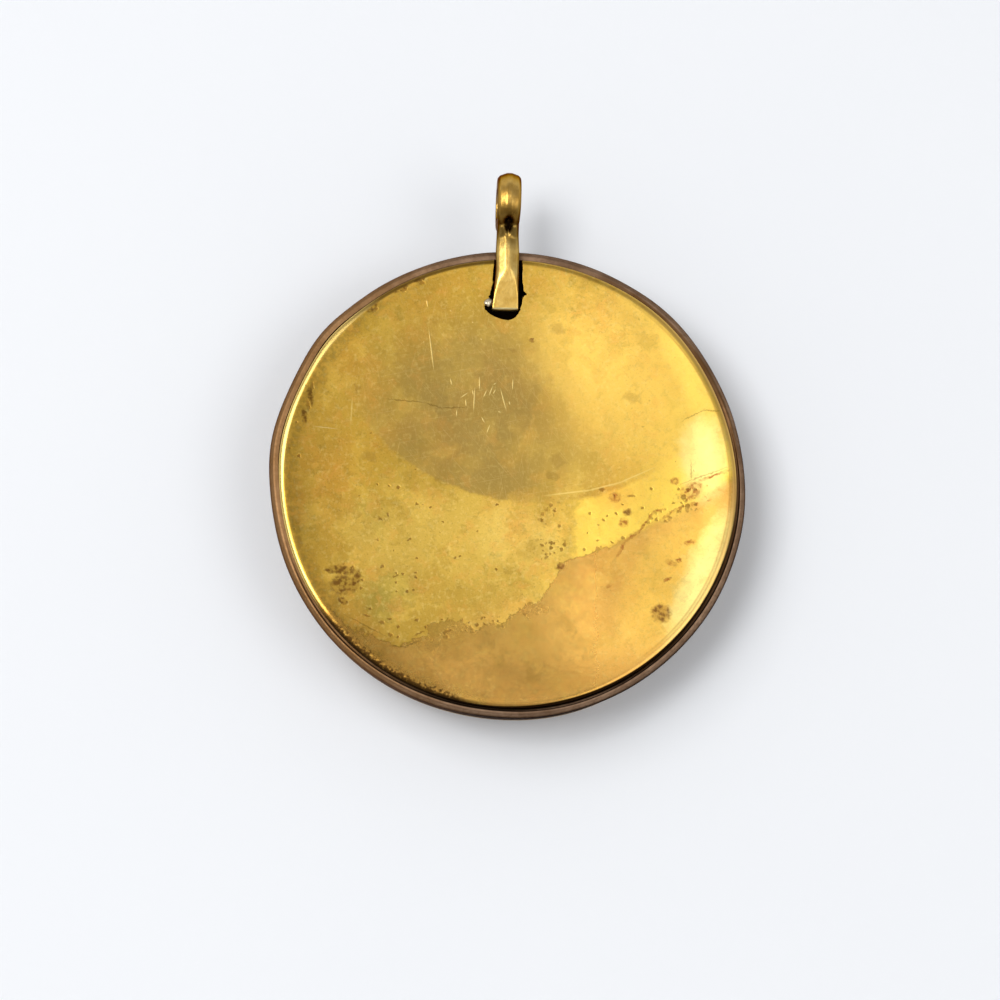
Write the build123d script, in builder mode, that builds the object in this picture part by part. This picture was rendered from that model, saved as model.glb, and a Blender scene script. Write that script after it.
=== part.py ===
from build123d import *

import os
from math import hypot, pi, sin, sqrt

# A round amulet box worn as a pendant, in millimetres. It lies on its face with its back cover
# up (+Z) and its bail towards +Y. The origin is on the axis of the box, in the face of the stone.

# Case: a sheet wall with a half-round wire round its mouth
rim_diameter = 50.0
rim_wire_depth = 0.6
rim_wire_height = 1.6
wall_sheet = 0.4
wall_height = 5.0
wall_edge_round = 0.12

# Front: a raised sheet with a flat border, edged by a wire
dome_sheet = 0.4
dome_rise = 2.8
border_width = 2.4
rope_diameter = 0.9
rope_inset = 0.5
solder_flat = 0.1

# Stone, its collar and the beaded wire round the collar
stone_diameter = 11.2
stone_height = 2.0
stone_girdle = 0.9
stone_shoulder = 1.5
stone_clearance = 0.05
bezel_sheet = 0.4
bezel_height = 1.2
bead_diameter = 1.2
bead_neck = 0.8
bead_pitch = 1.45
bead_gap = 0.1
seat_margin = 0.4

# Petals laid round the stone
petal_count = 8
petal_sheet = 0.7
petal_edge_round = 0.3
petal_corner_round = 0.8
petal_margin = 0.5
petal_gap = 0.6
petal_base_width = 3.4

# Back cover: a pan with a hollowed back, pushed into the case
cover_sheet = 0.4
cover_clearance = 0.2
cover_rise = 0.5
cover_edge_radius = 0.5
cover_dish = 0.9

# Bail: a half-round bar with an eye at one end and a hammered foot at the other
bail_width = 2.5
bail_reach = 8.15
bar_side = 0.7
eye_hole_diameter = 3.3
eye_thickness = 1.65
waist_width = 2.25
shank_thickness = 1.8
foot_length = 6.65
foot_width = 2.8
foot_thickness = 0.9
facet_length = 4.1
solder_leg = 1.5
solder_width = 2.0

# Notch in the cover round the foot of the bail
notch_side_gap = 0.3
notch_end_gap = 0.7
notch_reach = 1.0

# Folded paper strip kept in the case
leaf_length = 18.0
leaf_width = 12.0
leaf_count = 6
leaf_pitch = 0.5
paper_thickness = 0.25
strip_clearance = 0.05

# Radii and places that follow from the sizes above
rim_radius = rim_diameter / 2
wall_outer = rim_radius - rim_wire_depth
wall_inner = wall_outer - wall_sheet
cover_radius = wall_inner - cover_clearance
border_inner = wall_outer - border_width
stone_radius = stone_diameter / 2
bezel_inner = stone_radius + stone_clearance
bezel_outer = bezel_inner + bezel_sheet
bead_ring_radius = bezel_outer + bead_gap + bead_diameter / 2
seat_radius = bead_ring_radius + bead_diameter / 2 + seat_margin
rope_ring_radius = wall_outer - rope_inset - rope_diameter / 2

# Levels, upwards from the face of the stone
seat_z = stone_height
border_z = seat_z + dome_rise
floor_z = border_z + dome_sheet
rim_z = floor_z + wall_height
cover_z = rim_z + cover_rise

# Places along the bail
eye_radius = eye_hole_diameter / 2 + eye_thickness
eye_y = rim_radius + bail_reach - eye_radius
eye_z = rim_z + shank_thickness / 2
foot_y = rim_radius - foot_length

os.makedirs("parts", exist_ok=True)


def crown_arc():
    """Front of the dome's crown in section: it leaves the flat seat level and meets the border."""
    return TangentArc((seat_radius, seat_z), (border_inner, border_z), tangent=(1, 0))


def half_round(width, crown):
    """Half-round bar in section: a flat base, low straight sides and an arched crown."""
    base = Line((-width / 2, 0), (width / 2, 0))
    side = Line(base @ 1, (width / 2, bar_side))
    arch = ThreePointArc(side @ 1, (0, crown), (-width / 2, bar_side))
    Line(arch @ 1, base @ 0)


# Front dome, one raised sheet
with BuildPart() as front_dome:
    with BuildSketch(Plane.XZ):
        with BuildLine():
            Line((0, seat_z), (seat_radius, seat_z))
            crown = crown_arc()
            Line(crown @ 1, (wall_outer, border_z))
            offset(amount=dome_sheet, kind=Kind.INTERSECTION, side=Side.LEFT)
        make_face()
    revolve(axis=Axis.Z)
front_dome.part.label = "front_dome"
export_step(front_dome.part, "parts/front_dome.step")

# Case wall, a band that stands on the border of the dome
with BuildPart() as case_wall:
    with BuildSketch(Plane.XY.offset(floor_z)):
        Circle(wall_outer)
        Circle(wall_inner, mode=Mode.SUBTRACT)
    extrude(amount=wall_height)
    fillet(case_wall.edges().group_by(Axis.Z)[-1], radius=min(wall_edge_round, wall_sheet / 3))
case_wall.part.label = "case_wall"
export_step(case_wall.part, "parts/case_wall.step")

# Rim wire, half an ellipse in section, flush with the mouth of the wall
with BuildPart() as rim_wire:
    with BuildSketch(Plane.XZ):
        with Locations((wall_outer, rim_z - rim_wire_height / 2)):
            Ellipse(rim_wire_depth, rim_wire_height / 2)
            Rectangle(rim_wire_depth, rim_wire_height, align=(Align.MIN, Align.CENTER), mode=Mode.INTERSECT)
    revolve(axis=Axis.Z)
rim_wire.part.label = "rim_wire"
export_step(rim_wire.part, "parts/rim_wire.step")

# Rope wire on the front of the border, with a narrow flat where it is soldered on
with BuildPart() as rope_wire:
    with Locations(Plane.XY.offset(border_z - rope_diameter / 2 + solder_flat)):
        Torus(rope_ring_radius, rope_diameter / 2)
    split(bisect_by=Plane.XY.offset(border_z), keep=Keep.BOTTOM)
rope_wire.part.label = "rope_wire"
export_step(rope_wire.part, "parts/rope_wire.step")

# Stone, flat in front, with a rounded shoulder above a straight girdle
with BuildPart() as stone:
    with BuildSketch(Plane.XZ):
        with BuildLine():
            back = Line((0, seat_z), (stone_radius, seat_z))
            girdle = Line(back @ 1, (stone_radius, seat_z - stone_girdle))
            shoulder = EllipticalCenterArc(
                (stone_radius - stone_shoulder, seat_z - stone_girdle),
                stone_shoulder,
                stone_height - stone_girdle,
                start_angle=270,
                arc_size=90,
            )
            Polyline(shoulder @ 0, (0, 0), back @ 0)
        make_face()
    revolve(axis=Axis.Z)
stone.part.label = "stone"
export_step(stone.part, "parts/stone.step")

# Bezel, the collar round the stone
with BuildPart() as stone_bezel:
    with BuildSketch(Plane.XY.offset(seat_z)):
        Circle(bezel_outer)
        Circle(bezel_inner, mode=Mode.SUBTRACT)
    extrude(amount=-bezel_height)
stone_bezel.part.label = "stone_bezel"
export_step(stone_bezel.part, "parts/stone_bezel.step")

# Beaded wire round the bezel, with a narrow flat where it is soldered on
bead_count = round(2 * pi * bead_ring_radius / bead_pitch)
with BuildPart() as beaded_wire:
    with Locations(Plane.XY.offset(seat_z - bead_diameter / 2 + solder_flat)):
        Torus(bead_ring_radius, bead_neck / 2)
        with PolarLocations(bead_ring_radius, bead_count):
            Sphere(bead_diameter / 2)
    split(bisect_by=Plane.XY.offset(seat_z), keep=Keep.BOTTOM)
beaded_wire.part.label = "beaded_wire"
export_step(beaded_wire.part, "parts/beaded_wire.step")

# Petals: pointed sheets that follow the front of the dome, set evenly round the stone
petal_start = seat_radius + petal_margin
petal_tip = border_inner - petal_margin
petal_middle = (petal_start + petal_tip) / 2
petal_half_width = petal_middle * sin(pi / petal_count) - petal_gap / 2
for number in range(petal_count):
    name = f"lotus_petal_{number + 1}"
    turn = 360 * (number + 0.5) / petal_count
    with BuildPart() as petal:
        with BuildSketch(Plane.XZ):
            with BuildLine():
                crown_arc()
                offset(amount=petal_sheet, side=Side.RIGHT)
            make_face()
        revolve(axis=Axis.Z)
        with BuildSketch(Plane.XY.rotated((0, 0, turn))) as outline:
            with BuildLine():
                edge = ThreePointArc(
                    (petal_start, petal_base_width / 2),
                    (petal_middle, petal_half_width),
                    (petal_tip, 0),
                )
                mirror(edge, about=Plane.XZ)
                Line((petal_start, petal_base_width / 2), (petal_start, -petal_base_width / 2))
            make_face()
            fillet(outline.vertices(), radius=petal_corner_round)
        extrude(amount=border_z, mode=Mode.INTERSECT)
        front_face = petal.faces().sort_by(Axis.Z)[0]
        fillet(front_face.edges(), radius=min(petal_edge_round, petal_sheet / 2))
    petal.part.label = name
    export_step(petal.part, f"parts/{name}.step")

# Bail: the shank is lofted and its foot hammered to a sloping facet, then the eye is added
with BuildPart() as bail:
    shank_places = (
        (eye_y - eye_hole_diameter / 2 - bar_side / 2, waist_width),
        (rim_radius, bail_width),
        (foot_y, foot_width),
    )
    for place, width in shank_places:
        with BuildSketch(Plane((0, place, rim_z), x_dir=(1, 0, 0), z_dir=(0, -1, 0))):
            with BuildLine():
                half_round(width, shank_thickness)
            make_face()
    loft(ruled=True)
    facet_fall = shank_thickness - foot_thickness
    facet = Plane(
        (0, foot_y, rim_z + foot_thickness),
        x_dir=(1, 0, 0),
        z_dir=(0, -facet_fall, facet_length),
    )
    split(bisect_by=facet, keep=Keep.BOTTOM)
    with BuildSketch(Plane((0, eye_y + eye_hole_diameter / 2, eye_z))):
        with BuildLine():
            half_round(bail_width, eye_thickness)
        make_face()
    revolve(axis=Axis((0, eye_y, eye_z), (1, 0, 0)))
bail.part.label = "bail"
export_step(bail.part, "parts/bail.step")

# Solder between the wall and the underside of the shank, a cove cut to the curve of the wall
with BuildPart() as bail_solder:
    with BuildSketch(Plane.YZ):
        with BuildLine():
            cove = CenterArc((wall_inner - solder_leg, rim_z - solder_leg), solder_leg, 0, 90)
            Polyline(cove @ 0, (wall_inner, rim_z), cove @ 1)
        make_face()
    extrude(amount=solder_width / 2, both=True)
    with BuildSketch(Plane.XY.offset(floor_z)):
        Circle(wall_inner)
    extrude(amount=wall_height, mode=Mode.INTERSECT)
bail_solder.part.label = "bail_solder"
export_step(bail_solder.part, "parts/bail_solder.step")

# Back cover: a hollowed plate with a turned-down edge and a skirt that stands on the dome's border
notch_end_radius = foot_width / 2 + notch_end_gap
notch_end_y = foot_y - notch_reach + notch_end_radius
with BuildPart() as back_cover:
    with BuildSketch(Plane.XZ):
        with BuildLine():
            plate_edge = (cover_radius - cover_edge_radius, cover_z)
            TangentArc((0, cover_z - cover_dish), plate_edge, tangent=(1, 0))
            edge_center = (cover_radius - cover_edge_radius, cover_z - cover_edge_radius)
            turned_edge = CenterArc(edge_center, cover_edge_radius, 90, -90)
            Line(turned_edge @ 1, (cover_radius, floor_z))
            offset(amount=cover_sheet, kind=Kind.INTERSECTION, side=Side.RIGHT)
        make_face()
    revolve(axis=Axis.Z)
    with BuildSketch(Plane.XY.offset(floor_z)):
        with Locations((0, notch_end_y)):
            Circle(notch_end_radius)
            Rectangle(bail_width + 2 * notch_side_gap, cover_radius, align=(Align.CENTER, Align.MIN))
    extrude(amount=cover_z - floor_z, mode=Mode.SUBTRACT)
back_cover.part.label = "back_cover"
export_step(back_cover.part, "parts/back_cover.step")

# Paper strip, folded to and fro into a packet that lies in the hollow of the dome
crown_radius = ((border_inner - seat_radius) ** 2 + dome_rise**2) / (2 * dome_rise)
packet_corner = hypot(leaf_length / 2, leaf_width / 2)
corner_run = max(packet_corner - seat_radius, 0)
hollow_z = seat_z + crown_radius - sqrt((crown_radius - dome_sheet) ** 2 - corner_run**2)
first_leaf_z = hollow_z + strip_clearance + paper_thickness / 2
fold_x = (leaf_length - leaf_pitch - paper_thickness) / 2
with BuildPart() as prayer_strip:
    with BuildSketch(Plane.XZ):
        with BuildLine():
            for leaf in range(leaf_count):
                z = first_leaf_z + leaf * leaf_pitch
                Line((-fold_x, z), (fold_x, z))
                if leaf + 1 < leaf_count:
                    side = 1 if leaf % 2 == 0 else -1
                    bulge = (side * (fold_x + leaf_pitch / 2), z + leaf_pitch / 2)
                    ThreePointArc((side * fold_x, z), bulge, (side * fold_x, z + leaf_pitch))
            offset(amount=paper_thickness / 2, side=Side.BOTH)
        make_face()
    extrude(amount=leaf_width / 2, both=True)
prayer_strip.part.label = "prayer_strip"
export_step(prayer_strip.part, "parts/prayer_strip.step")
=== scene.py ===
import bmesh
import bpy
import numpy as np
from mathutils import Matrix, Vector


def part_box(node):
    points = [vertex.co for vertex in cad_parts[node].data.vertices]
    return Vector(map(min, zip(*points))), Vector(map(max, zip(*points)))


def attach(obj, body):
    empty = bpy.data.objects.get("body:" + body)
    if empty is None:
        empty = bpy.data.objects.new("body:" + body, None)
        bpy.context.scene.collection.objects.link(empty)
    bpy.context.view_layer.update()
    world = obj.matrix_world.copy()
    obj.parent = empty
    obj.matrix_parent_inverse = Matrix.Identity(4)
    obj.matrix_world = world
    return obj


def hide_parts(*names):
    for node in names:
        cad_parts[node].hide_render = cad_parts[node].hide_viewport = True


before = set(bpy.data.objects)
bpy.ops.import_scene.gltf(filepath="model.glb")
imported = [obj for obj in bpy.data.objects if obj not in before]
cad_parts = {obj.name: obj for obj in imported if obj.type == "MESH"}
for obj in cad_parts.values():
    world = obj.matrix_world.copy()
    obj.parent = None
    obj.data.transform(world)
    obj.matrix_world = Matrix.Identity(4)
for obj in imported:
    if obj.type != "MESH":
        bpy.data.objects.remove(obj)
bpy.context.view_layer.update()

# A round brass amulet box that lies on its face, seen from above its back cover. Shapes are worked
# out in millimetres in the frame of the solids, and skin() turns them to metres.
MM = 0.001
TURN = 2 * np.pi


def span(node):
    """Lowest and highest corner of a solid, in millimetres."""
    low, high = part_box(node)
    return np.array(low) / MM, np.array(high) / MM


_, cover_high = span("back_cover")
rim_low, rim_high = span("rim_wire")
wall_low, wall_high = span("case_wall")
dome_low, _ = span("front_dome")
rope_low, rope_high = span("rope_wire")
bead_low, bead_high = span("beaded_wire")
bezel_low, bezel_high = span("stone_bezel")
_, stone_high = span("stone")
bail_low, bail_high = span("bail")
paper_low, paper_high = span("prayer_strip")

# Case
rim_radius = rim_high[0]
rim_z = rim_high[2]
wall_outer = wall_high[0]
wall_sheet = 0.4
wall_inner = wall_outer - wall_sheet
floor_z = wall_low[2]

# Dents and corners that hammering left in the case: angle from +X and half-width in degrees, height in mm
case_dents = (
    (141, 6, 0.3), (170, 7, 0.2), (194, 12, -0.2), (-75, 12, 0.2), (-42, 28, 0.15), (22, 14, -0.2),
    (47, 9, 0.18),
)

# Waves round the case: fewest and most of them, their height and the seed of their draw. The crown's height
# is in mm, and the others are shares of the wire's depth and of its lower half
crown_waves = (6, 30, 0.04, 21)
depth_waves = (3, 14, 0.06, 31)
belly_waves = (7, 36, 0.05, 32)

# Groove between the wire and the cover: its depth, the angle where it is deepest and how far round it goes
groove_depth = 0.5
groove_turn = 290
groove_spread = 0.15
wall_below_crown = 0.03

# Cover
cover_radius = cover_high[0]
cover_z = cover_high[2]
cover_sheet = 0.4
cover_lip = 0.2
cover_edge_width = 0.6
cover_edge_drop = 0.3
cover_dish = 0.9
cover_share_of_dents = 0.7
cover_play = (0.0, -0.08)
skirt_draw_below = 0.35
skirt_draw_run = 0.5
cover_waves_fade = 20.5

# Waves that hammering left in the cover: pitch and height in mm, and the seed of their draw
cover_waves = ((17, 0.035, 11), (5, 0.004, 12))

# Notch in the cover: distance from the axis, and the left and right edges there
notch_at = (17.4, 17.5, 17.8, 18.2, 18.7, 19.1, 19.7, 20.1, 20.35, 20.6, 21.6, 24.0)
notch_left = (0.0, 0.6, 1.4, 1.95, 2.45, 2.55, 2.2, 2.0, 1.92, 1.85, 1.62, 1.5)
notch_right = (0.0, 0.4, 0.85, 1.1, 1.3, 1.4, 1.5, 1.62, 2.05, 1.65, 1.55, 1.5)
notch_roughness = 0.035
notch_rows_end = 21.2
notch_pull = 45

# Front
dome_sheet = 0.4
seat_radius = 7.75
seat_z = dome_low[2]
border_z = floor_z - dome_sheet
border_inner = wall_outer - 2.4
crown_radius = ((border_inner - seat_radius) ** 2 + (border_z - seat_z) ** 2) / (2 * (border_z - seat_z))
petal_count = 8
petal_sheet = 0.7
petal_start = seat_radius + 0.5
petal_tip = border_inner - 0.5
petal_base_width = 3.4
petal_gap = 0.6
wire_sunk = 0.1

# Bail
eye_bore = 1.65
eye_thickness = 1.65
eye_radius = eye_bore + eye_thickness
eye_y = bail_high[1] - eye_radius
eye_z = bail_high[2] - eye_radius
bail_width = 2.5
shank_thickness = 1.8
foot_y = bail_low[1]
foot_thickness = 0.9
facet_length = 4.1
pit_turn = 146.0
pit_depth = 0.75
pit_half_width = 0.42
pit_spread = 13
waist_depth = 0.2
waist_from_pit = 20
waist_spread = 35
swell_height = 0.9
swell_start = 25.8
swell_run = 1.3

# Places along the bail, with the shank's width and the lean off the middle there
shank_at = (foot_y, foot_y + 1.2, 22.5, 24.6, 26.6)
shank_width = (2.8, 2.62, 2.42, 2.45, 2.3)
lean_at = (18.3, 22.5, 27.0, 33.3)
lean_there = (-0.36, -0.12, -0.08, 0.08)


def skin(name, *grids):
    """One mesh from grids of points, each (rows, columns, 3) in millimetres. A cell of a grid is a face.
    Where a last row or column repeats the first, or a row shrinks to a point, merged doubles close it.
    The grid's own rows and columns, from 0 to 1, are kept as the UV map."""
    points, faces, places, start = [], [], [], 0
    for grid in grids:
        rows, columns = grid.shape[:2]
        index = start + np.arange(rows * columns).reshape(rows, columns)
        corners = [index[:-1, :-1], index[1:, :-1], index[1:, 1:], index[:-1, 1:]]
        faces.append(np.stack(corners, -1).reshape(-1, 4))
        points.append(grid.reshape(-1, 3))
        down, across = np.meshgrid(np.linspace(0, 1, rows), np.linspace(0, 1, columns), indexing="ij")
        places.append(np.stack([across, down], -1).reshape(-1, 2))
        start += rows * columns
    points, faces, places = np.concatenate(points), np.concatenate(faces), np.concatenate(places)
    mesh = bpy.data.meshes.new(name)
    mesh.from_pydata((points * MM).tolist(), [], faces.tolist())
    mesh.uv_layers.new(name="grid").data.foreach_set("uv", places[faces.ravel()].astype(np.float32).ravel())
    work = bmesh.new()
    work.from_mesh(mesh)
    bmesh.ops.remove_doubles(work, verts=work.verts, dist=2e-7)
    bmesh.ops.recalc_face_normals(work, faces=work.faces)
    work.to_mesh(mesh)
    work.free()
    mesh.shade_smooth()
    piece = bpy.data.objects.new(name, mesh)
    bpy.context.scene.collection.objects.link(piece)
    return piece


def turned(radius, height, angle):
    """Points of a turned form: the radius and height of each place on the profile, swung about the axis."""
    return np.stack(np.broadcast_arrays(radius * np.cos(angle), radius * np.sin(angle), height), -1)


def out_of_round(angle):
    """How far the case stands off its circle at an angle: a sum of bell curves, one for each dent."""
    swing = np.zeros_like(angle)
    for place, width, height in case_dents:
        away = np.angle(np.exp(1j * (angle - np.radians(place))))
        swing = swing + height * np.exp(-0.5 * (away / np.radians(width)) ** 2)
    return swing


def ripple(angle, fewest, most, height, seed):
    """A wavy line that closes on itself: sines of whole numbers of waves, with random phases and sizes."""
    draw = np.random.default_rng(seed)
    waves = np.arange(fewest, most + 1)
    phase = draw.uniform(0, TURN, waves.size)
    size = draw.normal(0, 1, waves.size) / np.sqrt(waves.size)
    return height * (np.sin(angle[..., None] * waves + phase) * size).sum(-1)


def hammer_waves(x, y, pitch, height, seed, count=24):
    """Shallow waves left by the hammer: a sum of sines with random headings, about one pitch long each."""
    draw = np.random.default_rng(seed)
    heading = draw.uniform(0, TURN, count)
    number = TURN / (pitch * draw.uniform(0.7, 1.5, count))
    phase = draw.uniform(0, TURN, count)
    wave = x[..., None] * np.cos(heading) * number + y[..., None] * np.sin(heading) * number + phase
    return height * np.sin(wave).sum(-1) / np.sqrt(count)


def ease(value):
    """Goes from 0 to 1 with level ends: 3t^2 - 2t^3 of the value held between 0 and 1."""
    held = np.clip(value, 0, 1)
    return held * held * (3 - 2 * held)


def cover_points():
    """The back cover's outer face: a dished plate, an edge that turns down in a quarter ellipse over the wall,
    and a skirt that draws in to go inside it. Rows go out from the axis, and columns start at one side of
    the notch and end at its other side. Inside the notch's end the first and last columns meet, and beyond
    it they part by the angle of its edges."""
    plate_radius = cover_radius + cover_lip - cover_edge_width
    plate = np.concatenate([
        np.linspace(0, notch_at[0], 40),
        np.linspace(notch_at[0], notch_rows_end, 40)[1:],
        np.linspace(notch_rows_end, plate_radius, 8)[1:],
    ])
    bend = np.linspace(0, np.pi / 2, 17)[1:]
    skirt = np.linspace(cover_z - cover_edge_drop, floor_z, 12)[1:]
    draw_in = cover_lip * (1 - ease((skirt - rim_z + skirt_draw_below) / skirt_draw_run))
    radius = np.concatenate([
        plate, plate_radius + cover_edge_width * np.sin(bend), cover_radius + cover_lip - draw_in,
    ])
    dish = cover_z - cover_dish * (1 - (plate / plate_radius) ** 2)
    height = np.concatenate([dish, cover_z - cover_edge_drop * (1 - np.cos(bend)), skirt])

    column = np.concatenate([[0, 0.08], np.linspace(0, 360, 385)[1:-1], [359.92, 360]])
    rough = np.random.default_rng(3).normal(0, notch_roughness, (2, radius.size))
    opened = radius > notch_at[0] + 0.05
    left, right = (
        np.degrees(np.arcsin((np.interp(radius, notch_at, edge) + jitter * opened) / np.maximum(radius, 1)))
        for edge, jitter in zip((notch_left, notch_right), rough)
    )
    near_left = 1 - ease(column / notch_pull)
    near_right = near_left[::-1]
    angle = 90 + column[None] + left[:, None] * near_left - right[:, None] * near_right
    angle = np.radians(angle)

    radius = radius[:, None] * np.ones_like(angle)
    height = height[:, None] * np.ones_like(angle)
    on_plate = 1 - ease((radius - cover_waves_fade) / (plate_radius - cover_waves_fade))
    x, y = radius * np.cos(angle), radius * np.sin(angle)
    for pitch, wave_height, seed in cover_waves:
        height = height + on_plate * hammer_waves(x, y, pitch, wave_height, seed)
    out = cover_share_of_dents * out_of_round(angle) * (radius / cover_radius) ** 6
    return turned(radius + out, height, angle) + np.array([*cover_play, 0])


def groove(angle):
    """How far the wall's edge lies below the wire at an angle: a smooth step, deep at the lower right."""
    return groove_depth * ease(np.cos(angle - np.radians(groove_turn)) + groove_spread)


def wall_points():
    """The case wall: a thin standing band with rounded top corners, as a closed profile carried round. Its
    upper edge is flush with the wire on one side and sinks to a groove on the other."""
    corner = 0.12
    bend = np.linspace(0, np.pi / 2, 6)
    side = np.linspace(floor_z, rim_z - corner, 14)
    top = rim_z - corner + corner * np.sin(bend)
    radius = np.concatenate([
        np.full(side.size, wall_outer),
        np.full(bend.size, wall_outer),
        wall_inner + corner - corner * np.sin(bend),
        np.full(side.size, wall_inner),
        [wall_outer],
    ])
    height = np.concatenate([side, np.linspace(side[-1], rim_z, bend.size), top[::-1], side[::-1], [floor_z]])
    angle = np.linspace(0, TURN, 361)[None]
    lift = ease((height[:, None] - floor_z) / (rim_z - floor_z))
    uneven = lift * (ripple(angle, *crown_waves) - groove(angle) - wall_below_crown)
    return turned(radius[:, None] + out_of_round(angle), height[:, None] + uneven, angle)


def rim_points():
    """The wire round the mouth: half an ellipse with its flat side on the wall, carried round, and a tongue of
    solder from its crown across the wall's edge, which dips where that edge sinks. The wire's depth and
    height wander a little, as hammered wire does."""
    swing = np.linspace(-np.pi / 2, np.pi / 2, 25)[:, None]
    inwards = np.linspace(0, 1, 9)[1:, None]
    angle = np.linspace(0, TURN, 541)[None]
    half = (rim_z - rim_low[2]) / 2
    depth = (rim_radius - wall_outer) * (1 + ripple(angle, *depth_waves))
    crown = rim_z + ripple(angle, *crown_waves)
    radius = wall_outer + depth * np.cos(swing)
    belly = np.where(swing < 0, 1 + ripple(angle, *belly_waves), 1)
    height = crown - half + half * np.sin(swing) * belly
    tongue_radius = wall_outer - wall_sheet * inwards + 0 * angle
    tongue_height = crown - groove(angle) * ease(inwards * 2.5)
    tongue_most, tongue_sheet = 0.9, 0.1
    last_height = np.minimum(tongue_height[-1:], height[:1] + tongue_most)
    radius = np.concatenate([radius, tongue_radius, tongue_radius[-1:], radius[:1]]) + out_of_round(angle)
    height = np.concatenate([height, tongue_height, last_height - tongue_sheet, height[:1]])
    return turned(radius, height, angle)


def bar_section(width, height, path):
    """Forged bar in section: straight sides, hammered flanks and a narrow flat crown. The path goes once round
    the outline from 0 to 1, and its corners are given as shares of the width and the height."""
    corner_across = (0.5, 0.5, 0.4, 0.11, -0.11, -0.4, -0.5, -0.5, 0.5)
    corner_up = (0.0, 0.66, 0.84, 1.0, 1.0, 0.84, 0.66, 0.0, 0.0)
    corner_path = np.linspace(0, 1, len(corner_across))
    across = width * np.interp(path, corner_path, corner_across)
    return across, height * np.interp(path, corner_path, corner_up)


def bail_lean(y):
    """How far the bail stands off the middle: straight pieces between places along its length."""
    return np.interp(y, lean_at, lean_there)


def eye_points():
    """The eye of the bail: the bar's section carried round the bore, with its flat side inwards. Where its
    crown runs down to the shank a pit is left in the middle, as in a loop that is bent shut."""
    around = np.linspace(0, TURN, 193)[:, None]
    path = np.linspace(0, 1, 97)[None]
    from_pit = np.degrees(around) - pit_turn
    waisted = bail_width - waist_depth * np.exp(-(((from_pit - waist_from_pit) / waist_spread) ** 2))
    across, up = bar_section(waisted, eye_thickness, path)
    bell = np.exp(-((from_pit / pit_spread) ** 2)) * np.exp(-((across / pit_half_width) ** 2))
    pit = pit_depth * bell * (up > 0.4 * eye_thickness)
    reach = eye_bore + up - pit
    y = eye_y + reach * np.cos(around)
    z = eye_z + reach * np.sin(around)
    return np.stack([across + bail_lean(y), y, z], -1)


def shank_points():
    """The shank: the bar's section carried from the eye to the foot, cut off above by a sloping plane
    that is the hammered facet. It swells up to the eye on both sides of the pit. Both ends shrink to a
    point, and the cut end bulges a little."""
    run = np.linspace(eye_y - eye_bore - 0.2, foot_y, 110)
    begin, end = np.linspace(0, 0.9, 4), np.linspace(0.96, 0, 8)
    y = np.concatenate([np.full(begin.size, run[0]), run, foot_y - 0.12 * (1 - end**2)])[:, None]
    shrink = np.concatenate([begin, np.ones(run.size), end])[:, None]
    path = np.linspace(0, 1, 97)[None]
    across, up = bar_section(np.interp(y, shank_at, shank_width), shank_thickness, path)
    beside_pit = 1 - np.exp(-((across / pit_half_width) ** 2))
    swell = swell_height * ease((y - swell_start) / swell_run) * beside_pit
    up = up * (1 + swell / shank_thickness)
    facet = foot_thickness + (y - foot_y) * (shank_thickness - foot_thickness) / facet_length
    sharpness = 22.0
    up = -np.log(np.exp(-sharpness * up) + np.exp(-sharpness * facet)) / sharpness
    middle = foot_thickness / 2
    return np.stack(
        np.broadcast_arrays(across * shrink + bail_lean(y), y, rim_z + middle + (up - middle) * shrink), -1
    )


def lump(centre, radii, seed, height):
    """A lump of solder: an ellipsoid on latitude and longitude, with its surface raised and sunk by waves."""
    latitude = np.linspace(-np.pi / 2, np.pi / 2, 25)[:, None]
    longitude = np.linspace(0, TURN, 49)[None]
    east = np.cos(latitude) * np.cos(longitude)
    north = np.cos(latitude) * np.sin(longitude)
    up = np.sin(latitude) + 0 * longitude
    swell = 1 + hammer_waves(east, north, 1.1, height, seed) * np.cos(latitude)
    return np.stack([east, north, up], -1) * swell[..., None] * np.array(radii) + np.array(centre)


def dome_front(radius):
    """Height of the dome's front at a radius: level seat, circular crown, level border."""
    run = np.clip(radius - seat_radius, 0, border_inner - seat_radius)
    return seat_z + crown_radius - np.sqrt(crown_radius**2 - run**2)


def dome_points():
    """The raised front sheet: its front and back as one closed profile carried round, with hammer waves."""
    out = np.concatenate([
        np.linspace(0, seat_radius, 14),
        np.linspace(seat_radius, border_inner, 36)[1:],
        np.linspace(border_inner, wall_outer, 8)[1:],
    ])
    radius = np.concatenate([out, out[::-1]])[:, None]
    back = np.concatenate([np.zeros(out.size), np.full(out.size, dome_sheet)])[:, None]
    angle = np.linspace(0, TURN, 289)[None]
    x, y = radius * np.cos(angle), radius * np.sin(angle)
    crown = np.sin(np.pi * np.clip((radius - seat_radius) / (border_inner - seat_radius), 0, 1))
    waves = hammer_waves(x, y, 6, 0.02, 41) * crown
    share = (radius / wall_outer) ** 6
    return turned(radius + share * out_of_round(angle), dome_front(radius) + back + waves, angle)


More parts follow.
